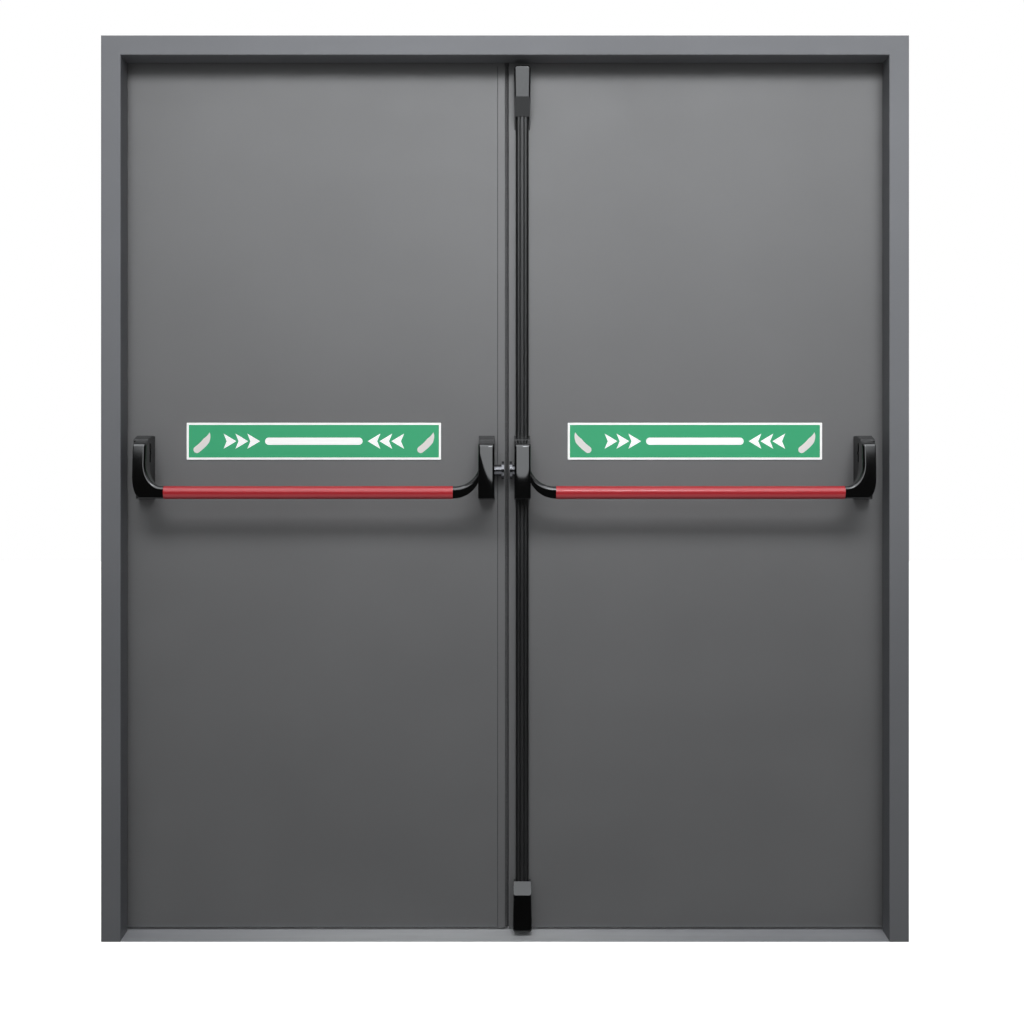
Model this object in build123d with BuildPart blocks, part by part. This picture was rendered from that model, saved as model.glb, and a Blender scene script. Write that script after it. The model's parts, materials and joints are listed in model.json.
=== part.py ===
from build123d import *
import os

# Double fire door with push bars, in millimetres.
# X runs to the right of someone about to push the bars, Y leads out through the doorway, Z is up.
# The origin lies on the floor, in the middle of the frame's width and depth.

# Frame
frame_width = 1872
frame_height = 2100
frame_depth = 110
face_width = 46
stop_width = 15
frame_sheet = 1.5
fold_radius = 2.5
lip_depth = 16
threshold_height = 11
threshold_nose = 2
seal_depth = 5
seal_width = 10
seal_gap = 0.5
fixing_end_inset = 350
fixing_hole_radius = 5

# Leaves
leaf_thickness = 45
leaf_sheet = 1.5
edge_gap = 5
meeting_gap = 8
meeting_offset = 4.5
left_strip_width = 17
right_strip_width = 4
back_strip_width = 17
strip_sheet = 1.5
strip_fold = 1.2
strip_head_gap = 6
meeting_seal_width = 5
meeting_seal_depth = 8

# Hinges
hinge_end_inset = 244
knuckle_radius = 8
knuckle_length = 60
knuckle_gap = 1
knuckle_standoff = 1
hinge_pin_radius = 4.5
hinge_pin_length = 50
hinge_pin_clearance = 0.3
hinge_plate_width = 34
hinge_plate_thickness = 3

# Push bars
bar_height = 1040
bar_reach = 95
bar_tall = 30
bar_deep = 24
bar_wall = 2
spigot_length = 25
spigot_clearance = 0.4
left_inner_inset = 47.5
right_inner_inset = 36
left_outer_inset = 61.5
right_outer_inset = 65
pivot_rise = 94
pivot_reach = 36

# Levers
inner_lever_width = 37
outer_lever_width = 31
limb_tall = 28
limb_deep = 22
limb_straight = 4
inner_limb_reach = 58
outer_limb_reach = 40.5
inner_throat_rise = 59
outer_throat_rise = 52
inner_heel_rise = 57
outer_heel_run = 20
outer_heel_rise = 50
arm_overlap = 4
arm_edge = 9
block_proud = 6
block_edge = 4.5
lever_taper_rise = 38
lever_lean = 9
crown_drop = 25
crown_radius = 10
lever_soft_edge = 7
lever_hard_edge = 2.5
lever_housing_gap = 5
tail_width = 12
tail_radius = 10
lever_pin_radius = 4
lever_pin_clearance = 0.25

# Lever housings
housing_width = 38
housing_front_width = 33
housing_outset = 6.5
housing_cap = 41
housing_foot_drop = 14
housing_shoulder = 22
housing_front_reach = 60
housing_foot_reach = 32
housing_edge_radius = 3
pocket_side_gap = 5
pocket_turn_gap = 12

# Latch between the leaves
latch_rise = 54
latch_reach = 24
latch_neck_radius = 13
latch_disc_radius = 21
latch_disc_thickness = 6
latch_meeting_gap = 6.5
latch_bore_clearance = 0.4
latch_bore_depth = 14
latch_travel = 9
latch_end_gap = 1

# Vertical bolt covers on the right leaf
rod_width = 30
rod_depth = 19
rod_edge_radius = 6
rod_flute_radius = 2
rod_flute_spacing = 9.5
end_cover_depth = 46
end_cover_edge = 4.5
end_cover_corner = 8
end_cover_slot_gap = 1
end_cover_leg = 30
top_cover_gap = 17
top_cover_length = 139
top_cover_slope = 66
top_cover_toe = 3
top_cover_root_width = 36
top_cover_tip_width = 39
bottom_cover_length = 114
bottom_cover_slope = 27
bottom_cover_toe = 23
bottom_cover_root_width = 40
bottom_cover_tip_width = 45

# Sign plates
sign_width = 600
sign_height = 87
sign_thickness = 2
sign_corner = 1.5
sign_rise = 80

# Planes and edges that the pieces share
half_width = frame_width / 2
front_y = -frame_depth / 2
back_y = frame_depth / 2
leaf_front = back_y - leaf_thickness
stop_y = leaf_front - seal_depth
soffit_x = half_width - face_width
rebate_x = soffit_x + stop_width
soffit_z = frame_height - face_width
rebate_z = soffit_z + stop_width
leaf_edge_x = rebate_x - edge_gap
leaf_top = rebate_z - edge_gap
leaf_bottom = threshold_height + edge_gap
hinge_x = (leaf_edge_x + rebate_x) / 2
hinge_y = back_y + knuckle_standoff + knuckle_radius
meeting_x = {-1: meeting_offset - meeting_gap / 2, 1: meeting_offset + meeting_gap / 2}
hinge_heights = (leaf_bottom + hinge_end_inset, (leaf_bottom + leaf_top) / 2, leaf_top - hinge_end_inset)
fixing_heights = (fixing_end_inset, frame_height - fixing_end_inset)
bar_y = leaf_front - bar_reach
inner_x = {-1: meeting_offset - left_inner_inset, 1: meeting_offset + right_inner_inset}
outer_x = {-1: left_outer_inset - leaf_edge_x, 1: leaf_edge_x - right_outer_inset}
outer_housing_x = {side: outer_x[side] + side * housing_outset for side in (-1, 1)}
pivot_y = leaf_front - pivot_reach
pivot_z = bar_height + pivot_rise
housing_top = pivot_z + housing_cap
housing_bottom = bar_height - housing_foot_drop
housing_front = leaf_front - housing_front_reach
lever_front = bar_y - limb_deep / 2
lever_back = housing_front - lever_housing_gap
limb_back = bar_y + limb_deep / 2
limb_low = bar_height - limb_tall / 2
limb_high = bar_height + limb_tall / 2
crown_start = leaf_front - housing_shoulder
latch_y = leaf_front - latch_reach
latch_z = bar_height + latch_rise
top_cover_top = soffit_z - top_cover_gap
top_cover_bottom = top_cover_top - top_cover_length
bottom_cover_top = leaf_bottom + bottom_cover_length
side_name = {-1: "left", 1: "right"}

os.makedirs("parts", exist_ok=True)


def save(builder, name):
    """Label a finished piece and write it to its own file."""
    builder.part.label = name
    export_step(builder.part, f"parts/{name}.step")


def slab(x_range, y_range, z_range):
    """A plain block between two values on each axis, in the active part."""
    with BuildSketch(Plane.XY.offset(z_range[0])) as base:
        Polygon(
            (x_range[0], y_range[0]),
            (x_range[1], y_range[0]),
            (x_range[1], y_range[1]),
            (x_range[0], y_range[1]),
            align=None,
        )
    extrude(base.sketch, amount=z_range[1] - z_range[0])


# Frame: folded sheet jambs and head, mitred at the top corners


def folded_section(section, place):
    """Section of the frame sheet; place turns an inset from the wall side and a depth into sketch points."""
    Polygon(
        place(0, front_y),
        place(face_width, front_y),
        place(face_width, stop_y),
        place(face_width - stop_width, stop_y),
        place(face_width - stop_width, back_y),
        place(0, back_y),
        align=None,
    )
    fillet(section.vertices(), radius=fold_radius)
    offset(amount=-frame_sheet, mode=Mode.SUBTRACT)
    Polygon(
        place(0, front_y + lip_depth),
        place(frame_sheet, front_y + lip_depth),
        place(frame_sheet, back_y - lip_depth),
        place(0, back_y - lip_depth),
        align=None,
        mode=Mode.SUBTRACT,
    )


def make_jamb(side):
    with BuildPart() as jamb:
        with BuildSketch(Plane.XY) as section:
            folded_section(section, lambda inset, depth: (side * (half_width - inset), depth))
        extrude(amount=frame_height)
        with BuildSketch(Plane.XZ):
            Polygon(
                (side * half_width, 0),
                (side * half_width, frame_height),
                (side * soffit_x, soffit_z),
                (side * soffit_x, 0),
                align=None,
            )
        extrude(amount=frame_depth, both=True, mode=Mode.INTERSECT)
        with BuildSketch(Plane.YZ.offset(side * rebate_x)):
            for height in fixing_heights:
                with Locations(((stop_y + back_y) / 2, height)):
                    Circle(fixing_hole_radius)
        extrude(amount=side * frame_sheet, mode=Mode.SUBTRACT)
    save(jamb, f"{side_name[side]}_jamb")


def make_head():
    with BuildPart() as head:
        with BuildSketch(Plane.YZ) as section:
            folded_section(section, lambda inset, depth: (depth, frame_height - inset))
        extrude(amount=half_width, both=True)
        with BuildSketch(Plane.XZ):
            Polygon(
                (-half_width, frame_height),
                (half_width, frame_height),
                (soffit_x, soffit_z),
                (-soffit_x, soffit_z),
                align=None,
            )
        extrude(amount=frame_depth, both=True, mode=Mode.INTERSECT)
    save(head, "head")


def make_threshold():
    """Ramped sill that fills the foot of the frame, wider behind the stops."""
    with BuildPart() as threshold:
        with BuildSketch(Plane.YZ):
            Polygon(
                (front_y, 0),
                (back_y, 0),
                (back_y, threshold_height),
                (leaf_front, threshold_height),
                (front_y, threshold_nose),
                align=None,
            )
        extrude(amount=rebate_x, both=True)
        for side in (-1, 1):
            with BuildSketch(Plane.XY):
                Polygon(
                    (side * soffit_x, front_y),
                    (side * rebate_x, front_y),
                    (side * rebate_x, stop_y + fold_radius),
                    (side * soffit_x, stop_y + fold_radius),
                    align=None,
                )
            extrude(amount=threshold_height, mode=Mode.SUBTRACT)
    save(threshold, "threshold")


def make_frame_seals():
    """Rubber strips on the stop faces, just short of the closed leaves."""
    depths = (stop_y, leaf_front - seal_gap)
    inset = (stop_width - seal_width) / 2
    for side in (-1, 1):
        with BuildPart() as strip:
            slab(
                (side * (soffit_x + inset), side * (rebate_x - inset)),
                depths,
                (threshold_height, soffit_z + inset),
            )
        save(strip, f"{side_name[side]}_jamb_seal")
    with BuildPart() as head_seal:
        slab((-rebate_x + inset, rebate_x - inset), depths, (soffit_z + inset, rebate_z - inset))
    save(head_seal, "head_seal")


# Leaves: a folded tray closed by a flat sheet, with a channel on the meeting edge


def make_leaf_skins(side):
    hinge_edge = side * leaf_edge_x
    meeting_edge = meeting_x[side] + side * strip_sheet
    tray_back = back_y - leaf_sheet
    low_x, high_x = sorted((hinge_edge, meeting_edge))
    with BuildPart() as tray:
        slab((low_x, high_x), (leaf_front, tray_back), (leaf_bottom, leaf_top))
        offset(amount=-leaf_sheet, openings=tray.faces().sort_by(Axis.Y)[-1])
    save(tray, f"{side_name[side]}_push_skin")
    with BuildPart() as sheet:
        slab((low_x, high_x), (tray_back, back_y), (leaf_bottom, leaf_top))
    save(sheet, f"{side_name[side]}_pull_skin")


def make_meeting_edge(side, strip_width):
    """Channel wrapped round the meeting edge, its flanges lying on both skins."""
    edge = meeting_x[side]
    flange = edge + side * strip_width
    back_flange = edge + side * back_strip_width
    wall = edge + side * strip_sheet
    top = soffit_z - strip_head_gap
    with BuildPart() as channel:
        with BuildSketch(Plane.XY.offset(leaf_bottom)) as section:
            Polygon(
                (edge, leaf_front - strip_sheet),
                (flange, leaf_front - strip_sheet),
                (flange, leaf_front),
                (wall, leaf_front),
                (wall, back_y),
                (back_flange, back_y),
                (back_flange, back_y + strip_sheet),
                (edge, back_y + strip_sheet),
                align=None,
            )
            fillet(section.vertices().group_by(Axis.X)[0 if side > 0 else -1], radius=strip_fold)
        extrude(amount=top - leaf_bottom)
    save(channel, f"{side_name[side]}_meeting_edge")


def make_meeting_seal():
    """Soft strip on the left leaf's meeting edge, near the outer face."""
    edge = meeting_x[-1]
    with BuildPart() as strip:
        slab(
            (edge, edge + meeting_seal_width),
            (back_y - meeting_seal_depth, back_y),
            (leaf_bottom, soffit_z - strip_head_gap),
        )
    save(strip, "left_meeting_seal")


# Hinges: lift-off knuckles on the outer side, the pin standing in the frame's half


def make_hinges(side):
    axis_point = (side * hinge_x, hinge_y)
    plate_y = back_y + hinge_plate_thickness / 2
    frame_plate_x = side * (rebate_x + half_width) / 2
    leaf_plate_x = side * (leaf_edge_x - hinge_plate_width / 2)
    with BuildPart() as frame_halves:
        for height in hinge_heights:
            with BuildSketch(Plane.XY.offset(height - knuckle_length)):
                with Locations(axis_point):
                    Circle(knuckle_radius)
                with Locations((frame_plate_x, plate_y)):
                    Rectangle(half_width - rebate_x, hinge_plate_thickness)
            extrude(amount=knuckle_length)
            with BuildSketch(Plane.XY.offset(height)):
                with Locations(axis_point):
                    Circle(hinge_pin_radius)
            extrude(amount=hinge_pin_length)
    save(frame_halves, f"{side_name[side]}_hinge_frame_halves")
    with BuildPart() as leaf_halves:
        for height in hinge_heights:
            with BuildSketch(Plane.XY.offset(height + knuckle_gap)):
                with Locations(axis_point):
                    Circle(knuckle_radius)
                with Locations((leaf_plate_x, plate_y)):
                    Rectangle(hinge_plate_width, hinge_plate_thickness)
            extrude(amount=knuckle_length)
            with BuildSketch(Plane.XY.offset(height)):
                with Locations(axis_point):
                    Circle(hinge_pin_radius + hinge_pin_clearance)
            extrude(amount=hinge_pin_length + knuckle_gap, mode=Mode.SUBTRACT)
    save(leaf_halves, f"{side_name[side]}_hinge_leaf_halves")


# Lever housings: cast wedges on the leaf, with a pocket and a cross bore for the lever's tail


def crown_height(depth):
    """Height of the sloping top that the housings and levers share, at a depth in front of the shoulder."""
    return housing_top - crown_drop * (crown_start - depth) / (crown_start - lever_front)


def make_housing(name, centre_x, tail_x, latch_side=0, latch_depth=0):
    foot = leaf_front - housing_foot_reach
    pocket_half = tail_radius + pocket_turn_gap
    with BuildPart() as housing:
        with BuildSketch(Plane.YZ.offset(centre_x)) as side_view:
            Polygon(
                (leaf_front, housing_bottom),
                (leaf_front, housing_top),
                (crown_start, housing_top),
                (housing_front, crown_height(housing_front)),
                (foot, housing_bottom),
                align=None,
            )
            fillet(side_view.vertices().sort_by(Axis.X)[:2], radius=housing_edge_radius)
        extrude(amount=housing_width / 2, both=True)
        with BuildSketch(Plane.XY.offset(housing_bottom)):
            Polygon(
                (centre_x - housing_width / 2, leaf_front),
                (centre_x + housing_width / 2, leaf_front),
                (centre_x + housing_front_width / 2, housing_front),
                (centre_x - housing_front_width / 2, housing_front),
                align=None,
            )
        extrude(amount=housing_top - housing_bottom, mode=Mode.INTERSECT)
        with BuildSketch(Plane.YZ.offset(tail_x)):
            Polygon(
                (housing_front, pivot_z - pocket_half),
                (housing_front, pivot_z + pocket_half),
                (pivot_y + pocket_half, pivot_z + pocket_half),
                (pivot_y + pocket_half, pivot_z - pocket_half),
                align=None,
            )
        extrude(amount=tail_width / 2 + pocket_side_gap, both=True, mode=Mode.SUBTRACT)
        with BuildSketch(Plane.YZ.offset(centre_x)):
            with Locations((pivot_y, pivot_z)):
                Circle(lever_pin_radius + lever_pin_clearance)
        extrude(amount=housing_width / 2, both=True, mode=Mode.SUBTRACT)
        if latch_side:
            with BuildSketch(Plane.YZ.offset(centre_x + latch_side * housing_width / 2)):
                with Locations((latch_y, latch_z)):
                    Circle(latch_neck_radius + latch_bore_clearance)
            extrude(amount=-latch_side * latch_depth, mode=Mode.SUBTRACT)
    save(housing, name)


# Levers: upright limbs in front of the housings, whose tails turn on pins inside them


def back_points(brow):
    """Corners of a lever's side view, from the brow of its crown down its back to its foot."""
    return (
        brow,
        (lever_back, crown_height(lever_back)),
        (lever_back, limb_high + lever_taper_rise),
        (limb_back, limb_high),
        (limb_back, limb_low),
    )


def add_lever_fittings(centre_x, housing_x, end_x, bar_side):
    """A lever's tail, cross pin and bar spigot, in the active part."""
    with BuildSketch(Plane.YZ.offset(centre_x)) as tail:
        with Locations(((lever_back + pivot_y) / 2, pivot_z)):
            Rectangle(pivot_y - lever_back, 2 * tail_radius)
        with Locations((pivot_y, pivot_z)):
            Circle(tail_radius)
    extrude(tail.sketch, amount=tail_width / 2, both=True)
    with BuildSketch(Plane.YZ.offset(housing_x)) as pin:
        with Locations((pivot_y, pivot_z)):
            Circle(lever_pin_radius)
    extrude(pin.sketch, amount=housing_front_width / 2, both=True)
    with BuildSketch(Plane.YZ.offset(end_x)) as spigot:
        with Locations((bar_y, bar_height)):
            Ellipse(
                bar_deep / 2 - bar_wall - spigot_clearance,
                bar_tall / 2 - bar_wall - spigot_clearance,
            )
    extrude(spigot.sketch, amount=bar_side * spigot_length)


def make_inner_lever(name, centre_x, bar_side):
    """Upright block with a leaning front; an arm sweeps from its side down to the bar."""
    far_x = centre_x - bar_side * inner_lever_width / 2
    near_x = centre_x + bar_side * inner_lever_width / 2
    end_x = near_x + bar_side * inner_limb_reach
    root_x = near_x - bar_side * arm_overlap
    bend_x = end_x - bar_side * limb_straight
    throat_z = limb_high + inner_throat_rise
    heel_z = limb_low + inner_heel_rise
    throat_run = inner_limb_reach + arm_overlap - limb_straight
    heel_run = inner_limb_reach + arm_overlap
    quarter = {"start_angle": 225 - bar_side * 45, "arc_size": 90}
    block_front = lever_front - block_proud
    brow = (block_front + lever_lean, crown_height(block_front + lever_lean))
    with BuildPart() as lever:
        with BuildSketch(Plane.XZ.offset(-lever_front)):
            with BuildLine():
                Line((root_x, heel_z), (root_x, throat_z))
                EllipticalCenterArc((bend_x, throat_z), throat_run, inner_throat_rise, **quarter)
                Polyline((bend_x, limb_high), (end_x, limb_high), (end_x, limb_low))
                EllipticalCenterArc((end_x, heel_z), heel_run, inner_heel_rise, **quarter)
            make_face()
        extrude(amount=-limb_deep)
        arm_edges = lever.faces().sort_by(Axis.Y)[0].edges()
        fillet(arm_edges.sort_by_distance((bend_x, lever_front, limb_high))[0], radius=arm_edge)
        with BuildSketch(Plane.YZ.offset(far_x)) as side_view:
            with BuildLine():
                TangentArc((block_front, limb_low), brow, tangent=(0, 1))
                Polyline(*back_points(brow), (block_front, limb_low))
            make_face()
            fillet(side_view.vertices().sort_by_distance(brow)[0], radius=crown_radius)
        extrude(amount=near_x - far_x)
        fillet(lever.faces().sort_by(Axis.Y)[0].edges().filter_by(Axis.X, reverse=True), radius=block_edge)
        add_lever_fittings(centre_x, centre_x, end_x, bar_side)
    save(lever, name)


def make_outer_lever(name, centre_x, housing_x, bar_side):
    """J-shaped limb swept in one piece from its crown to the bar."""
    heel_x = centre_x - bar_side * outer_lever_width / 2
    throat_x = centre_x + bar_side * outer_lever_width / 2
    end_x = throat_x + bar_side * outer_limb_reach
    throat_run = outer_limb_reach - limb_straight
    throat_centre = (throat_x + bar_side * throat_run, limb_high + outer_throat_rise)
    heel_centre = (heel_x + bar_side * outer_heel_run, limb_low + outer_heel_rise)
    quarter = {"start_angle": 225 - bar_side * 45, "arc_size": 90}
    back_top = crown_height(lever_back)
    brow = (lever_front + lever_lean, crown_height(lever_front + lever_lean))
    with BuildPart() as lever:
        with BuildSketch(Plane.XZ.offset(-lever_front)):
            with BuildLine():
                Polyline(
                    (heel_x, heel_centre[1]),
                    (heel_x, back_top),
                    (throat_x, back_top),
                    (throat_x, throat_centre[1]),
                )
                EllipticalCenterArc(throat_centre, throat_run, outer_throat_rise, **quarter)
                Polyline(
                    (throat_centre[0], limb_high),
                    (end_x, limb_high),
                    (end_x, limb_low),
                    (heel_centre[0], limb_low),
                )
                EllipticalCenterArc(heel_centre, outer_heel_run, outer_heel_rise, **quarter)
            make_face()
        extrude(amount=lever_front - lever_back)
        with BuildSketch(Plane.YZ.offset(heel_x)) as side_view:
            with BuildLine():
                TangentArc((lever_front, limb_low), brow, tangent=(0, 1))
                Polyline(*back_points(brow), (lever_front, limb_low))
            make_face()
            fillet(side_view.vertices().sort_by_distance(brow)[0], radius=crown_radius)
        extrude(amount=end_x - heel_x, mode=Mode.INTERSECT)
        front_edges = lever.faces().sort_by(Axis.Y)[0].edges()
        throat_edge = front_edges.sort_by_distance((throat_x, lever_front, throat_centre[1]))[0]
        fillet(throat_edge, radius=lever_soft_edge)
        front_edges = lever.faces().sort_by(Axis.Y)[0].edges()
        heel_edge = front_edges.sort_by_distance((heel_x, lever_front, heel_centre[1]))[0]
        fillet(heel_edge, radius=lever_hard_edge)
        add_lever_fittings(centre_x, housing_x, end_x, bar_side)
    save(lever, name)


def make_push_bar(side):
    """Oval tube held between an inner and an outer lever."""
    name = side_name[side]
    make_inner_lever(f"{name}_inner_lever", inner_x[side], side)
    make_outer_lever(f"{name}_outer_lever", outer_x[side], outer_housing_x[side], -side)
    start_x = inner_x[side] + side * (inner_lever_width / 2 + inner_limb_reach)
    end_x = outer_x[side] - side * (outer_lever_width / 2 + outer_limb_reach)
    with BuildPart() as tube:
        with BuildSketch(Plane.YZ.offset(start_x)):
            with Locations((bar_y, bar_height)):
                Ellipse(bar_deep / 2, bar_tall / 2)
                Ellipse(bar_deep / 2 - bar_wall, bar_tall / 2 - bar_wall, mode=Mode.SUBTRACT)
        extrude(amount=end_x - start_x)
    save(tube, f"{name}_bar_tube")
    make_sign(f"{name}_sign_plate", (start_x + end_x) / 2)


def make_sign(name, centre_x):
    with BuildPart() as plate:
        with BuildSketch(Plane.XZ.offset(-leaf_front)):
            with Locations((centre_x, bar_height + sign_rise + sign_height / 2)):
                RectangleRounded(sign_width, sign_height, sign_corner)
        extrude(amount=sign_thickness)
    save(plate, name)


# Latch: a turned bolt on the left leaf faces a like keeper on the right leaf


def make_latch(name, side):
    """Neck out of the housing's bore, ending in a disc short of the meeting line."""
    root_x = inner_x[side] - side * (housing_width / 2 - latch_bore_depth)
    tip_x = meeting_offset + side * latch_meeting_gap
    with BuildPart() as bolt:
        with BuildSketch(Plane.YZ.offset(root_x)):
            with Locations((latch_y, latch_z)):
                Circle(latch_neck_radius)
        extrude(amount=tip_x - root_x)
        with BuildSketch(Plane.YZ.offset(tip_x)):
            with Locations((latch_y, latch_z)):
                Circle(latch_disc_radius)
        extrude(amount=side * latch_disc_thickness)
    save(bolt, name)


# Covers of the vertical bolts on the right leaf


def make_rod_cover(name, low, high):
    """Fluted cover strip with a rounded front."""
    rod_x = inner_x[1]
    rod_front = leaf_front - rod_depth
    with BuildPart() as cover:
        with BuildSketch(Plane.XY.offset(low)) as section:
            with Locations((rod_x, leaf_front - rod_depth / 2)):
                Rectangle(rod_width, rod_depth)
            fillet(section.vertices().group_by(Axis.Y)[0], radius=rod_edge_radius)
            with Locations((rod_x, rod_front)):
                with GridLocations(rod_flute_spacing, 0, 2, 1):
                    Circle(rod_flute_radius, mode=Mode.SUBTRACT)
        extrude(amount=high - low)
    save(cover, name)


def make_end_cover(name, root_z, tip_z, slope, toe, root_width, tip_width):
    """Cap over a bolt end; its sloping root straddles the rod cover, its tip points to the frame."""
    rod_x = inner_x[1]
    towards_tip = 1 if tip_z > root_z else -1
    cap_front = leaf_front - end_cover_depth
    seat_z = root_z + towards_tip * end_cover_leg
    with BuildPart() as cap:
        with BuildSketch(Plane.YZ.offset(rod_x)):
            Polygon(
                (leaf_front, root_z),
                (leaf_front - toe, root_z),
                (cap_front, root_z + towards_tip * slope),
                (cap_front, tip_z),
                (leaf_front, tip_z),
                align=None,
            )
        extrude(amount=tip_width, both=True)
        with BuildSketch(Plane.XZ.offset(-leaf_front)) as front_view:
            Polygon(
                (rod_x - root_width / 2, root_z),
                (rod_x + root_width / 2, root_z),
                (rod_x + tip_width / 2, tip_z),
                (rod_x - tip_width / 2, tip_z),
                align=None,
            )
            fillet(front_view.vertices().sort_by_distance((rod_x, tip_z))[:2], radius=end_cover_corner)
        extrude(amount=end_cover_depth, mode=Mode.INTERSECT)
        fillet(cap.faces().sort_by(Axis.Y)[0].edges().filter_by(Axis.X, reverse=True), radius=end_cover_edge)
        with BuildSketch(Plane.XZ.offset(-leaf_front)):
            with Locations((rod_x, (root_z + seat_z) / 2)):
                Rectangle(rod_width + 2 * end_cover_slot_gap, end_cover_leg)
        extrude(amount=rod_depth + end_cover_slot_gap, mode=Mode.SUBTRACT)
    save(cap, name)


make_jamb(-1)
make_jamb(1)
make_head()
make_threshold()
make_frame_seals()
for hand in (-1, 1):
    make_leaf_skins(hand)
    make_hinges(hand)
make_meeting_edge(-1, left_strip_width)
make_meeting_edge(1, right_strip_width)
make_meeting_seal()
make_housing("left_outer_housing", outer_housing_x[-1], outer_x[-1])
make_housing(
    "left_inner_housing",
    inner_x[-1],
    inner_x[-1],
    1,
    latch_bore_depth + latch_travel + latch_end_gap,
)
make_housing("right_inner_housing", inner_x[1], inner_x[1], -1, latch_bore_depth)
make_housing("right_outer_housing", outer_housing_x[1], outer_x[1])
make_push_bar(-1)
make_push_bar(1)
make_latch("left_latch_bolt", -1)
make_latch("right_latch_keeper", 1)
make_rod_cover("upper_rod_cover", housing_top, top_cover_bottom + end_cover_leg)
make_rod_cover("lower_rod_cover", bottom_cover_top - end_cover_leg, housing_bottom)
make_end_cover(
    "top_latch_cover",
    top_cover_bottom,
    top_cover_top,
    top_cover_slope,
    top_cover_toe,
    top_cover_root_width,
    top_cover_tip_width,
)
make_end_cover(
    "bottom_latch_cover",
    bottom_cover_top,
    leaf_bottom,
    bottom_cover_slope,
    bottom_cover_toe,
    bottom_cover_root_width,
    bottom_cover_tip_width,
)
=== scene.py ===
"""Studio scene of the double fire door: finishes, sign prints, meeting strips, screws, light and camera."""

import json
import math

import bmesh
import bpy
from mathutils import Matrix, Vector


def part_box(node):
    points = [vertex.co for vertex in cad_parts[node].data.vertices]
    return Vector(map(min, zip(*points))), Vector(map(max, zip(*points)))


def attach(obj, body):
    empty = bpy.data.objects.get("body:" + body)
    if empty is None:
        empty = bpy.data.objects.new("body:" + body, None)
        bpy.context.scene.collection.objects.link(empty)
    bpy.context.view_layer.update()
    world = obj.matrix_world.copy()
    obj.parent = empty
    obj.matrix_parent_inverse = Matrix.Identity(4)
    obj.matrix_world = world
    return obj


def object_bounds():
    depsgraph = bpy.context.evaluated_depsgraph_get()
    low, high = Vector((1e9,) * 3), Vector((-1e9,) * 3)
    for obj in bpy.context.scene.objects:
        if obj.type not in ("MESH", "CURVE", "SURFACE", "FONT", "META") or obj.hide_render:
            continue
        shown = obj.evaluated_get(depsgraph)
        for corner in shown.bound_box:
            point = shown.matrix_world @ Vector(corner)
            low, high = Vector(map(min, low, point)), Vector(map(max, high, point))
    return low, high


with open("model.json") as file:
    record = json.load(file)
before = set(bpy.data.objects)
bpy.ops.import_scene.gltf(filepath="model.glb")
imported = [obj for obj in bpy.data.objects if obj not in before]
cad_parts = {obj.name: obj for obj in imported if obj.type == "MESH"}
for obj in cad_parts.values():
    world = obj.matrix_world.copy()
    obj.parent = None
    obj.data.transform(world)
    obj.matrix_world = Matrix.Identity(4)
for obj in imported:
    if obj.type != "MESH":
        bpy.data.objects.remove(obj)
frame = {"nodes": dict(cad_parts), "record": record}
cad_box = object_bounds()
nodes = frame["nodes"]
MM = 0.001

# Finishes: colours are linear, noise scales are per metre

LEAF_GREY = (0.162, 0.162, 0.163)
FRAME_GREY = (0.190, 0.194, 0.204)
CASTING_BLACK = (0.005, 0.005, 0.005)
COVER_BLACK = (0.006, 0.006, 0.006)
# Sill tone at its ends, and the lighter tone of its painted pool of light in the middle
SILL_DULL = (0.62, 0.63, 0.66)
SILL_PAINTED_LIT = (0.97, 0.985, 1.0)
COAT_ROUGHNESS = 0.15
NOISE_LOW, NOISE_HIGH = 0.3, 0.7
CLOUD_SCALE = 2.2
GLOSS_SCALE = 9.0
GLOSS_DRIFT = 0.08
PAINT_GRAIN = 700.0
FILM_GRAIN = 1200.0
RUBBER_GRAIN = 420.0
BRUSH_SCALE, BRUSH_DETAIL = 60.0, 4.0
BRUSH_STRENGTH, BRUSH_DEPTH = 0.12, 0.2 * MM
SKIN_DEPTH = 0.3 * MM
SILL_METALLIC = 0.05
SILL_LINES = 0.12
# Centre offset and reach of the sill's painted pool of light
LIGHT_POOL_OFFSET, LIGHT_POOL_REACH = 0.14, 0.85
BLOCK_HALF = 18.5 * MM
BLOCK_CROWN = 2.9
BLOCK_TWIST = {"left": 0.9, "right": 0.0}


def start_material(name, roughness, metallic=0.0, coat=0.0, specular=0.5):
    """A material, its node tree, its shader and the coordinates that ride with the piece."""
    material = bpy.data.materials.new(name)
    material.use_nodes = True
    tree = material.node_tree
    shader = tree.nodes["Principled BSDF"]
    shader.inputs["Roughness"].default_value = roughness
    shader.inputs["Metallic"].default_value = metallic
    shader.inputs["Coat Weight"].default_value = coat
    shader.inputs["Coat Roughness"].default_value = COAT_ROUGHNESS
    shader.inputs["Specular IOR Level"].default_value = specular
    place = tree.nodes.new("ShaderNodeTexCoord")
    return material, tree, shader, place.outputs["Object"]


def noise(tree, place, scale, detail=3.0, stretch=(1, 1, 1)):
    """Noise over the piece; a stretch below one draws it out along that axis."""
    mapping = tree.nodes.new("ShaderNodeMapping")
    mapping.inputs["Scale"].default_value = stretch
    tree.links.new(place, mapping.inputs["Vector"])
    texture = tree.nodes.new("ShaderNodeTexNoise")
    texture.inputs["Scale"].default_value = scale
    texture.inputs["Detail"].default_value = detail
    tree.links.new(mapping.outputs["Vector"], texture.inputs["Vector"])
    return texture.outputs["Fac"]


def ramp(tree, value, low, high):
    """Noise spread from low to high."""
    spread = tree.nodes.new("ShaderNodeMapRange")
    spread.inputs["From Min"].default_value = NOISE_LOW
    spread.inputs["From Max"].default_value = NOISE_HIGH
    spread.inputs["To Min"].default_value = low
    spread.inputs["To Max"].default_value = high
    tree.links.new(value, spread.inputs["Value"])
    return spread.outputs["Result"]


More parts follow.
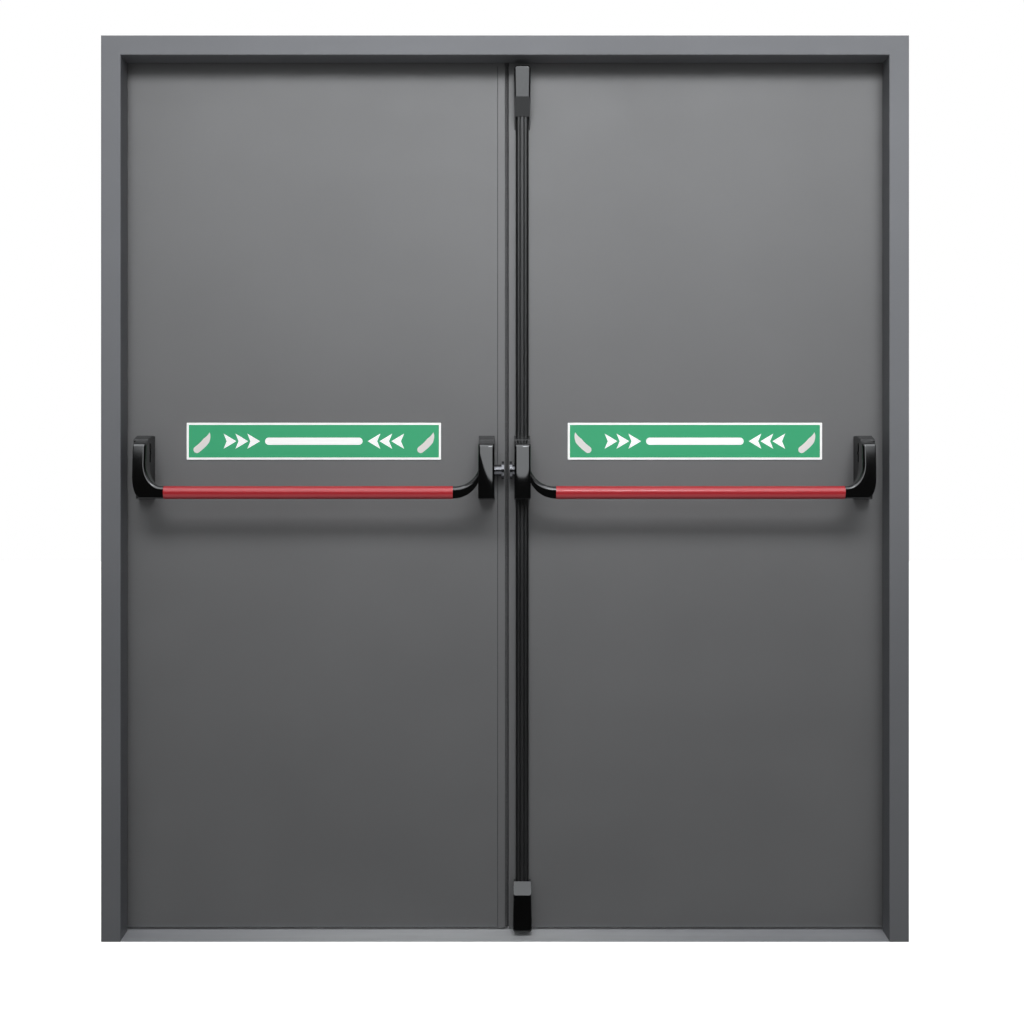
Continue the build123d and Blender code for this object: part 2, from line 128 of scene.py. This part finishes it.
def step_up(tree, value, start, end):
    """Nought at start, one at end, smooth between; it steps down where start is above end."""
    node = tree.nodes.new("ShaderNodeMapRange")
    node.interpolation_type = "SMOOTHSTEP"
    node.inputs["From Min"].default_value = start
    node.inputs["From Max"].default_value = end
    tree.links.new(value, node.inputs["Value"])
    return node.outputs["Result"]


def combine(tree, operation, first, second):
    """One math node; second is a socket or a number."""
    node = tree.nodes.new("ShaderNodeMath")
    node.operation = operation
    tree.links.new(first, node.inputs[0])
    if isinstance(second, (int, float)):
        node.inputs[1].default_value = second
    else:
        tree.links.new(second, node.inputs[1])
    return node.outputs["Value"]


def split_axes(tree, place):
    axes = tree.nodes.new("ShaderNodeSeparateXYZ")
    tree.links.new(place, axes.inputs["Vector"])
    return axes.outputs["X"], axes.outputs["Y"], axes.outputs["Z"]


def tint(tree, value, dark, light):
    """Colour between dark and light."""
    mix = tree.nodes.new("ShaderNodeMix")
    mix.data_type = "RGBA"
    mix.inputs["A"].default_value = (*dark, 1)
    mix.inputs["B"].default_value = (*light, 1)
    tree.links.new(value, mix.inputs["Factor"])
    return mix.outputs["Result"]


def shade(colour, factor):
    return tuple(min(1.0, channel * factor) for channel in colour)


def bump(tree, shader, value, strength, distance):
    node = tree.nodes.new("ShaderNodeBump")
    node.inputs["Strength"].default_value = strength
    node.inputs["Distance"].default_value = distance
    tree.links.new(value, node.inputs["Height"])
    tree.links.new(node.outputs["Normal"], shader.inputs["Normal"])


def drifting_tone(tree, place, colour, drift):
    """Colour that drifts slowly over the piece."""
    cloud = ramp(tree, noise(tree, place, CLOUD_SCALE), 0.0, 1.0)
    return tint(tree, cloud, shade(colour, 1 - drift), shade(colour, 1 + drift))


def coated(name, colour, roughness, grain=PAINT_GRAIN, peel=0.06, drift=0.05, coat=0.0, painted_glow=0.0, specular=0.5):
    """A coating with drifting tone, an orange-peel skin and uneven gloss; a nonzero glow makes it emit its own
    colour as painted light, though it is no lamp.
    """
    material, tree, shader, place = start_material(name, roughness, coat=coat, specular=specular)
    tone = drifting_tone(tree, place, colour, drift)
    tree.links.new(tone, shader.inputs["Base Color"])
    # Painted glow: emission brightens the film as if lit; the piece is no lamp
    if painted_glow:
        tree.links.new(tone, shader.inputs["Emission Color"])
        shader.inputs["Emission Strength"].default_value = painted_glow
    skin = noise(tree, place, grain, 2.0)
    patches = noise(tree, place, GLOSS_SCALE)
    gloss = ramp(tree, patches, roughness * (1 - GLOSS_DRIFT), roughness * (1 + GLOSS_DRIFT))
    tree.links.new(gloss, shader.inputs["Roughness"])
    bump(tree, shader, skin, peel, SKIN_DEPTH)
    return material


def film(name, colour, roughness, drift, painted_glow):
    """Printed film of the signs, with a painted glow."""
    return coated(name, colour, roughness, grain=FILM_GRAIN, peel=0.02, drift=drift, painted_glow=painted_glow)


def brushed(name, colour, roughness, stretch):
    """Bare metal with fine lines along one axis."""
    material, tree, shader, place = start_material(name, roughness, metallic=1.0)
    lines = noise(tree, place, BRUSH_SCALE, BRUSH_DETAIL, stretch)
    tone = tint(tree, ramp(tree, lines, 0.0, 1.0), shade(colour, 0.85), shade(colour, 1.1))
    tree.links.new(tone, shader.inputs["Base Color"])
    tree.links.new(ramp(tree, lines, roughness * 0.8, roughness * 1.25), shader.inputs["Roughness"])
    bump(tree, shader, lines, BRUSH_STRENGTH, BRUSH_DEPTH)
    return material


def painted_lit_sill(name, dull, painted_lit, roughness):
    """Brushed sill, painted brighter towards the middle as a pool of light."""
    material, tree, shader, place = start_material(name, roughness, metallic=SILL_METALLIC)
    across = split_axes(tree, place)[0]
    # Painted pool of light: the tone brightens towards the middle of the sill
    away = combine(tree, "ABSOLUTE", combine(tree, "ADD", across, LIGHT_POOL_OFFSET), 0.0)
    light_pool = step_up(tree, away, LIGHT_POOL_REACH, 0.0)
    lines = noise(tree, place, BRUSH_SCALE, BRUSH_DETAIL, (0.05, 1, 1))
    lines = ramp(tree, lines, -SILL_LINES, SILL_LINES)
    tone = tint(tree, combine(tree, "ADD", light_pool, lines), dull, painted_lit)
    tree.links.new(tone, shader.inputs["Base Color"])
    bump(tree, shader, lines, BRUSH_STRENGTH, BRUSH_DEPTH)
    return material


def crowned_casting(name, colour, roughness, centre, half_width, crown, twist):
    """Glossy casting whose block swells slightly across its width and winds by twist towards its foot."""
    material, tree, shader, place = start_material(name, roughness)
    tree.links.new(drifting_tone(tree, place, colour, 0.05), shader.inputs["Base Color"])
    across, _, height = split_axes(tree, place)
    offset = combine(tree, "MAXIMUM", combine(tree, "ADD", across, -centre[0]), -half_width)
    offset = combine(tree, "MINIMUM", offset, half_width)
    swell = combine(tree, "MULTIPLY", combine(tree, "MULTIPLY", offset, offset), -crown)
    below = combine(tree, "MULTIPLY", combine(tree, "ADD", height, -centre[1]), -twist)
    wind = combine(tree, "MULTIPLY", below, offset)
    bump(tree, shader, combine(tree, "ADD", swell, wind), 1.0, 1.0)
    return material


def rubber(name, colour):
    material, tree, shader, place = start_material(name, 0.75, specular=0.3)
    grain = noise(tree, place, RUBBER_GRAIN, 3.0)
    tone = tint(tree, ramp(tree, grain, 0.0, 1.0), shade(colour, 0.8), shade(colour, 1.3))
    tree.links.new(tone, shader.inputs["Base Color"])
    bump(tree, shader, grain, 0.2, SKIN_DEPTH)
    return material


finishes = {
    "leaf_paint": coated("leaf_paint", LEAF_GREY, 0.46),
    "frame_paint": coated("frame_paint", FRAME_GREY, 0.50, specular=0.3),
    "hinge_steel": coated("hinge_paint", FRAME_GREY, 0.40),
    "black_casting": coated("black_casting", CASTING_BLACK, 0.08, peel=0.005),
    "black_cover": coated("black_cover", COVER_BLACK, 0.12, peel=0.005),
    "bar_red": coated("bar_red", (0.53, 0.027, 0.037), 0.34, peel=0.01, drift=0.02, coat=0.55, specular=0.1),
    # The sign film below carries a painted glow
    "sign_green": film("sign_green", (0.029, 0.285, 0.129), 0.42, drift=0.03, painted_glow=0.4),
    "sill_metal": painted_lit_sill("sill_metal", SILL_DULL, SILL_PAINTED_LIT, 0.42),
    "latch_steel": brushed("latch_steel", (0.085, 0.085, 0.09), 0.22, (1, 0.2, 0.2)),
    "seal_rubber": rubber("seal_rubber", (0.018, 0.018, 0.019)),
}
# The sign films below carry a painted glow
sign_white = film("sign_white", (0.92, 0.92, 0.91), 0.40, drift=0.02, painted_glow=0.3)
sign_pale = film("sign_pale", (0.74, 0.71, 0.69), 0.40, drift=0.05, painted_glow=0.2)
strip_grey = rubber("strip_grey", (0.075, 0.075, 0.076))
housing_black = coated("housing_black", COVER_BLACK, 0.22, peel=0.01)
rod_black = coated("rod_black", COVER_BLACK, 0.36, peel=0.02)
screw_steel = brushed("screw_steel", (0.45, 0.45, 0.46), 0.30, (1, 1, 1))


def finish_nodes():
    """Each node takes its slot's finish; rod covers, housings and inner levers take their own."""
    slots = {part["node"]: part["material_slot"] for part in frame["record"]["subparts"]}
    for name, node in nodes.items():
        node.data.materials.clear()
        node.data.materials.append(finishes[slots[name]])
    for name in ("upper_rod_cover", "lower_rod_cover"):
        nodes[name].data.materials[0] = rod_black
    for name in ("left_inner_housing", "right_inner_housing", "left_outer_housing", "right_outer_housing"):
        nodes[name].data.materials[0] = housing_black
    for side, twist in BLOCK_TWIST.items():
        low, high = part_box(f"{side}_inner_lever")
        block_x = low.x + BLOCK_HALF if side == "right" else high.x - BLOCK_HALF
        casting = f"{side}_lever_casting"
        nodes[f"{side}_inner_lever"].data.materials[0] = crowned_casting(
            casting, CASTING_BLACK, 0.06, (block_x, high.z), BLOCK_HALF, BLOCK_CROWN, twist
        )


# Pieces that scene.py adds


def around(count):
    """Each place on a closed ring with the next one."""
    return [(here, (here + 1) % count) for here in range(count)]


def add_piece(name, shape, material, body):
    """Turn a bmesh into a piece that rides on a body and takes the given material."""
    bmesh.ops.recalc_face_normals(shape, faces=shape.faces)
    mesh = bpy.data.meshes.new(name)
    shape.to_mesh(mesh)
    shape.free()
    mesh.materials.append(material)
    piece = bpy.data.objects.new(name, mesh)
    bpy.context.scene.collection.objects.link(piece)
    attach(piece, body)


# Flat prints on the sign plates

PRINT_DEPTH = 0.25 * MM
BORDER = 5 * MM
OUTER_CORNER, INNER_CORNER = 1.5 * MM, 0.8 * MM
BAR_LENGTH, BAR_HEIGHT, BAR_CORNER = 230 * MM, 17 * MM, 8.4 * MM
ARROW_COUNT = 3
ARROW_START_MM, ARROW_PITCH_MM = 142, 28
ARROW_LENGTH, ARROW_HALF = 30 * MM, 18 * MM
STROKE_REACH, STROKE_DROP = 264 * MM, 5 * MM
STROKE_FOOT, STROKE_BEND, STROKE_TIP = Vector((-12, -15)), Vector((17.5, 7)), Vector((18, 26))
STROKE_HALF_MM = 8
TAPER_START, TAPER_POWER = 0.5, 0.9


def print_outline(shape, outline, front):
    """Add a flat outline of (x, z) points to a bmesh, from front back to the plate."""
    near = [shape.verts.new((x, front, z)) for x, z in outline]
    far = [shape.verts.new((x, front + PRINT_DEPTH, z)) for x, z in outline]
    shape.faces.new(near)
    shape.faces.new(reversed(far))
    for here, there in around(len(outline)):
        shape.faces.new((near[there], near[here], far[here], far[there]))


def print_ring(shape, outer, inner, front):
    """Add a flat band between two outlines with the same number of points."""
    back = front + PRINT_DEPTH
    rings = [
        [shape.verts.new((x, y, z)) for x, z in outline]
        for outline, y in ((outer, front), (inner, front), (inner, back), (outer, back))
    ]
    for band, following in around(len(rings)):
        first, second = rings[band], rings[following]
        for here, there in around(len(outer)):
            shape.faces.new((first[here], second[here], second[there], first[there]))


def rounded_box(centre_x, centre_z, width, height, radius, steps=6):
    points = []
    for corner in range(4):
        angle = corner * math.pi / 2
        side_x = 1 if corner in (0, 3) else -1
        side_z = 1 if corner in (0, 1) else -1
        corner_x = centre_x + side_x * (width / 2 - radius)
        corner_z = centre_z + side_z * (height / 2 - radius)
        for step in range(steps + 1):
            turn = angle + step / steps * math.pi / 2
            points.append((corner_x + radius * math.cos(turn), corner_z + radius * math.sin(turn)))
    return points


def tapered_stroke(centre_x, centre_z, lean, steps=18):
    """A broad stroke from a round foot to a tip that turns upwards; lean is the side that the tip leans to."""
    first_leg, last_leg = STROKE_BEND - STROKE_FOOT, STROKE_TIP - STROKE_BEND
    right, left = [], []
    for step in range(steps + 1):
        t = step / steps
        point = STROKE_FOOT * (1 - t) ** 2 + STROKE_BEND * 2 * t * (1 - t) + STROKE_TIP * t**2
        along = (first_leg * (1 - t) + last_leg * t).normalized()
        across = Vector((along.y, -along.x))
        half = STROKE_HALF_MM * min(1.0, (1 - t) / (1 - TAPER_START)) ** TAPER_POWER
        right.append(point + across * half)
        left.append(point - across * half)
    start = first_leg.normalized()
    sideways = Vector((-start.y, start.x))
    cap = []
    for step in range(1, steps):
        turn = math.pi * step / steps
        cap.append(STROKE_FOOT + STROKE_HALF_MM * (sideways * math.cos(turn) - start * math.sin(turn)))
    outline = right + left[-2::-1] + cap
    return [(centre_x + lean * p.x * MM, centre_z + p.y * MM) for p in outline]


def arrow_head(centre_x, centre_z, lean, length, half):
    return [
        (centre_x + lean * length / 2, centre_z),
        (centre_x - lean * length / 2, centre_z + half),
        (centre_x - lean * length / 4, centre_z),
        (centre_x - lean * length / 2, centre_z - half),
    ]


def print_sign(side, stroke_leans):
    """White ring, bar and arrows, and a pale stroke near each end, on one sign plate."""
    low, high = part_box(f"{side}_sign_plate")
    centre_x, centre_z = (low.x + high.x) / 2, (low.z + high.z) / 2
    width, height = high.x - low.x, high.z - low.z
    front = low.y - PRINT_DEPTH
    white = bmesh.new()
    outer = rounded_box(centre_x, centre_z, width, height, OUTER_CORNER)
    inner = rounded_box(centre_x, centre_z, width - 2 * BORDER, height - 2 * BORDER, INNER_CORNER)
    print_ring(white, outer, inner, front)
    print_outline(white, rounded_box(centre_x, centre_z, BAR_LENGTH, BAR_HEIGHT, BAR_CORNER), front)
    for lean in (-1, 1):
        for step in range(ARROW_COUNT):
            arrow_x = centre_x - lean * (ARROW_START_MM + ARROW_PITCH_MM * step) * MM
            print_outline(white, arrow_head(arrow_x, centre_z, lean, ARROW_LENGTH, ARROW_HALF), front)
    pale = bmesh.new()
    for end, lean in zip((-1, 1), stroke_leans):
        stroke = tapered_stroke(centre_x + end * STROKE_REACH, centre_z - STROKE_DROP, lean)
        print_outline(pale, stroke, front)
    for shape, name, material in ((white, "print", sign_white), (pale, "strokes", sign_pale)):
        add_piece(f"{side}_sign_{name}", shape, material, f"{side}_leaf")


# Strips in the meeting gap and along the left leaf's edge channel

TIP_REACH = 6.1 * MM
LEFT_LIP_SET, LEFT_LIP_DEPTH = 3 * MM, 4 * MM
RIGHT_LIP_SET, RIGHT_LIP_DEPTH = 9 * MM, 1.8 * MM
LIP_STEPS = 8
BEAD = 1.5 * MM
BEAD_STEPS = 6


def add_strip(name, body, section, low, high, material):
    """Extrude a section of (x, y) points upright between two heights."""
    shape = bmesh.new()
    foot = [shape.verts.new((x, y, low)) for x, y in section]
    top = [shape.verts.new((x, y, high)) for x, y in section]
    shape.faces.new(foot)
    shape.faces.new(top)
    for here, there in around(len(section)):
        shape.faces.new((foot[here], foot[there], top[there], top[here]))
    add_piece(name, shape, material, body)


def lip_section(root, tip, front, depth):
    """Strip section with a rounded lip at its tip."""
    reach = 1 if tip > root else -1
    half = depth / 2
    centre = tip - reach * half
    points = [(root, front), (root, front + depth)]
    for step in range(LIP_STEPS + 1):
        turn = math.pi / 2 - math.pi * step / LIP_STEPS
        points.append((centre + reach * half * math.cos(turn), front + half + half * math.sin(turn)))
    return points


def shadow_bead_section(flange, leaf_front):
    """Quarter-round section in the corner between the flange and the leaf's front, for a dark bead of painted
    shade.
    """
    section = [(flange, leaf_front), (flange, leaf_front - BEAD)]
    for step in range(1, BEAD_STEPS):
        turn = math.pi / 2 * step / BEAD_STEPS
        section.append((flange - BEAD * math.sin(turn), leaf_front - BEAD * math.cos(turn)))
    section.append((flange - BEAD, leaf_front))
    return section


def add_meeting_strips():
    """A lip on each leaf's edge closes the gap, and a dark bead of painted shade runs along the left channel's
    flange as its shadow line.
    """
    left_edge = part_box("left_push_skin")[1].x
    right_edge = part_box("right_push_skin")[0].x
    leaf_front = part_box("left_push_skin")[0].y
    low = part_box("left_push_skin")[0].z
    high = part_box("left_push_skin")[1].z
    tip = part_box("left_meeting_edge")[1].x + TIP_REACH
    left_lip = lip_section(left_edge, tip, leaf_front + LEFT_LIP_SET, LEFT_LIP_DEPTH)
    add_strip("left_gap_strip", "left_leaf", left_lip, low, high, strip_grey)
    right_lip = lip_section(right_edge, tip, leaf_front + RIGHT_LIP_SET, RIGHT_LIP_DEPTH)
    add_strip("right_gap_strip", "right_leaf", right_lip, low, high, strip_grey)
    # Painted shade: the dark grey bead stands in for the shadow line along the flange's edge
    shadow_bead = shadow_bead_section(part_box("left_meeting_edge")[0].x, leaf_front)
    add_strip("left_flange_shadow_bead", "left_leaf", shadow_bead, low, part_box("left_meeting_edge")[1].z, strip_grey)


# Screws in the hinge plates

HINGES = 3
PLATE_HEIGHT = 60 * MM
HALF_HEIGHT = {"frame": 110 * MM, "leaf": 60 * MM}
KNUCKLE_BACK = 14 * MM
FRAME_SCREW_INSET, LEAF_SCREW_INSET = 12 * MM, 14 * MM
SCREW_RISE = 15 * MM
SCREW_RINGS_MM = ((4.6, 0, False), (4.4, 0.9, False), (3.0, 1.5, False), (2.3, 1.5, True), (2.2, 0.5, True))


def add_screw(shape, centre_x, back, centre_z, segments=24):
    """Low dome with a six-sided socket, standing out from a plate's back."""
    rings = []
    for radius, rise, six_sided in SCREW_RINGS_MM:
        ring = []
        for step in range(segments):
            turn = 2 * math.pi * step / segments
            reach = radius
            if six_sided:
                reach = radius * math.cos(math.pi / 6) / math.cos(turn % (math.pi / 3) - math.pi / 6)
            x = centre_x + reach * MM * math.cos(turn)
            z = centre_z + reach * MM * math.sin(turn)
            ring.append(shape.verts.new((x, back + rise * MM, z)))
        rings.append(ring)
    for first, second in zip(rings, rings[1:]):
        for here, there in around(segments):
            shape.faces.new((first[here], first[there], second[there], second[here]))
    shape.faces.new(rings[-1])
    shape.faces.new(reversed(rings[0]))


def add_hinge_screws(side, half, body):
    """Two screws in each of the three plates of one half of a leaf's hinges."""
    low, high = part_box(f"{side}_hinge_{half}_halves")
    sign = 1 if side == "right" else -1
    outer_x = max(abs(low.x), abs(high.x))
    inner_x = min(abs(low.x), abs(high.x))
    centre_x = sign * (outer_x - FRAME_SCREW_INSET if half == "frame" else inner_x + LEAF_SCREW_INSET)
    pitch = (high.z - low.z - HALF_HEIGHT[half]) / (HINGES - 1)
    shape = bmesh.new()
    for step in range(HINGES):
        foot = low.z + step * pitch
        for rise in (SCREW_RISE, PLATE_HEIGHT - SCREW_RISE):
            add_screw(shape, centre_x, high.y - KNUCKLE_BACK, foot + rise)
    add_piece(f"{side}_{half}_screws", shape, screw_steel, body)


# Studio: in the world, height, sideways and facing are parts of a ray's unit direction

FLOOR_HALF = 40
FLOOR_GAP = 0.5 * MM
FLOOR_DARK, FLOOR_LIGHT = (0.90, 0.90, 0.90), (0.93, 0.93, 0.93)
KEY_PLACE, KEY_TARGET = (0.36, -2.4, 3.27), (0.36, 0, 1.70)
KEY_SIZE, KEY_POWER, KEY_SPREAD = (3.4, 0.8), 15.2, 55
KEY_COLOUR = (0.97, 0.98, 1.0)
FILL_COLOUR, GLOSS_COLOUR, BACKDROP_COLOUR = (0.98, 0.99, 1.0, 1), (0.94, 0.97, 1.0, 1), (1, 1, 1, 1)
FRONT_FILL, FRONT_FOCUS = 0.76, 6.0
ABOVE_FILL, BELOW_FILL, REAR_FILL = 0.36, 0.30, 0.85
BOX_GLOSS, OVERHEAD_GLOSS, REAR_GLOSS, STRIP_GLOSS, GROUND_GLOSS = 4.0, 1.2, 0.6, 24.0, 1.3
BOX_FOOT, BOX_TOP = (0.14, 0.155), (0.97, 0.88)
BOX_BOW, BOX_BOW_POWER = 40.0, 4.0
FRONT_HALF = (0.05, 0.2)
OVERHEAD_FOOT, OVERHEAD_SIDES = (0.25, 0.60), (0.95, 0.7)
STRIP_FOOT, STRIP_TOP, STRIP_FRONT = (0.40, 0.43), (0.54, 0.51), (0.3, 0.5)
STRIP_LEFT, STRIP_RIGHT = (0.0, 0.04), (0.21, 0.06)
GROUND_TOP = (-0.35, -0.50)


def add_key():
    """Wide soft lamp above the viewer, a little to the right; the gloss doesn't see it."""
    lamp = bpy.data.lights.new("key", "AREA")
    lamp.shape = "RECTANGLE"
    lamp.size, lamp.size_y = KEY_SIZE
    lamp.energy = KEY_POWER
    lamp.color = KEY_COLOUR
    lamp.spread = math.radians(KEY_SPREAD)
    key = bpy.data.objects.new("key", lamp)
    key.location = KEY_PLACE
    key.rotation_euler = (Vector(KEY_TARGET) - key.location).to_track_quat("-Z", "Y").to_euler()
    key.visible_glossy = False
    bpy.context.scene.collection.objects.link(key)


def add_floor():
    """Wide pale floor under the sill, seen by the camera alone."""
    surface = bpy.data.meshes.new("floor")
    shape = bmesh.new()
    bmesh.ops.create_grid(shape, x_segments=1, y_segments=1, size=FLOOR_HALF)
    shape.to_mesh(surface)
    shape.free()
    material, tree, shader, place = start_material("floor_paint", 0.9, specular=0.1)
    tone = ramp(tree, noise(tree, place, 0.6), 0.0, 1.0)
    tree.links.new(tint(tree, tone, FLOOR_DARK, FLOOR_LIGHT), shader.inputs["Base Color"])
    shader.inputs["Emission Color"].default_value = (1, 1, 1, 1)
    shader.inputs["Emission Strength"].default_value = 1.0
    surface.materials.append(material)
    floor = bpy.data.objects.new("floor", surface)
    floor.location.z = cad_box[0][2] - FLOOR_GAP
    floor.visible_diffuse = False
    floor.visible_glossy = False
    bpy.context.scene.collection.objects.link(floor)


def add_world():
    """White for the camera, soft fill for diffuse rays, and panels of light for glossy rays."""
    world = bpy.data.worlds.new("studio")
    bpy.context.scene.world = world
    world.use_nodes = True
    tree = world.node_tree

    def times(first, second):
        return combine(tree, "MULTIPLY", first, second)

    def plus(first, second):
        return combine(tree, "ADD", first, second)

    def within(*limits):
        """Product of smooth steps, each given by a value and its start and end."""
        inside = None
        for value, (start, end) in limits:
            step = step_up(tree, value, start, end)
            inside = step if inside is None else times(inside, step)
        return inside

    direction = tree.nodes.new("ShaderNodeTexCoord").outputs["Generated"]
    across, ahead, height = split_axes(tree, direction)
    facing = combine(tree, "MAXIMUM", times(ahead, -1.0), 0.0)
    rear = combine(tree, "MAXIMUM", ahead, 0.0)
    above = combine(tree, "MAXIMUM", height, 0.0)
    below = combine(tree, "MAXIMUM", times(height, -1.0), 0.0)
    sideways = combine(tree, "ABSOLUTE", across, 0.0)

    fill = times(combine(tree, "POWER", facing, FRONT_FOCUS), FRONT_FILL)
    fill = plus(fill, times(times(above, facing), ABOVE_FILL))
    fill = plus(fill, times(times(below, facing), BELOW_FILL))
    fill = plus(fill, times(rear, REAR_FILL))

    bow = times(combine(tree, "POWER", sideways, BOX_BOW_POWER), BOX_BOW)
    edge = combine(tree, "SUBTRACT", height, bow)
    box = within((edge, BOX_FOOT), (height, BOX_TOP), (facing, FRONT_HALF))
    overhead = within((height, OVERHEAD_FOOT), (sideways, OVERHEAD_SIDES))
    strip = within(
        (height, STRIP_FOOT),
        (height, STRIP_TOP),
        (facing, STRIP_FRONT),
        (across, STRIP_LEFT),
        (across, STRIP_RIGHT),
    )
    ground = within((height, GROUND_TOP), (facing, FRONT_HALF))
    gloss = plus(times(box, BOX_GLOSS), times(overhead, OVERHEAD_GLOSS))
    for panel, strength in ((rear, REAR_GLOSS), (strip, STRIP_GLOSS), (ground, GROUND_GLOSS)):
        gloss = plus(gloss, times(panel, strength))

    shades = []
    for colour, strength in ((FILL_COLOUR, fill), (GLOSS_COLOUR, gloss), (BACKDROP_COLOUR, None)):
        node = tree.nodes.new("ShaderNodeBackground")
        node.inputs["Color"].default_value = colour
        if strength is not None:
            tree.links.new(strength, node.inputs["Strength"])
        shades.append(node.outputs["Background"])
    seen = tree.nodes.new("ShaderNodeLightPath")
    shade_out = shades[0]
    for ray, other in (("Is Glossy Ray", shades[1]), ("Is Camera Ray", shades[2])):
        mix = tree.nodes.new("ShaderNodeMixShader")
        tree.links.new(seen.outputs[ray], mix.inputs["Fac"])
        tree.links.new(shade_out, mix.inputs[1])
        tree.links.new(other, mix.inputs[2])
        shade_out = mix.outputs["Shader"]
    tree.links.new(shade_out, tree.nodes["World Output"].inputs["Surface"])


def add_camera():
    """Level camera in front of the push side, with the photograph's eye height and off-centre crop."""
    distance = 3.33
    eye_height = 0.954
    image_px = 1024
    eye_px = (505, 530)
    frame_mm_per_px = 2.3156
    data = bpy.data.cameras.new("camera")
    data.sensor_width = 36
    data.lens = data.sensor_width * distance / (image_px * frame_mm_per_px * MM)
    data.shift_x = (image_px / 2 - eye_px[0]) / image_px
    data.shift_y = (eye_px[1] - image_px / 2) / image_px
    camera = bpy.data.objects.new("camera", data)
    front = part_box("head")[0].y
    camera.location = (0, front - distance, eye_height)
    camera.rotation_euler = (math.pi / 2, 0, 0)
    bpy.context.scene.collection.objects.link(camera)
    bpy.context.scene.camera = camera


finish_nodes()
print_sign("left", (1, 1))
print_sign("right", (-1, 1))
add_meeting_strips()
for hand in ("left", "right"):
    add_hinge_screws(hand, "frame", "frame")
    add_hinge_screws(hand, "leaf", f"{hand}_leaf")
add_floor()
add_world()
add_key()
add_camera()
bpy.context.scene.view_settings.view_transform = "Standard"
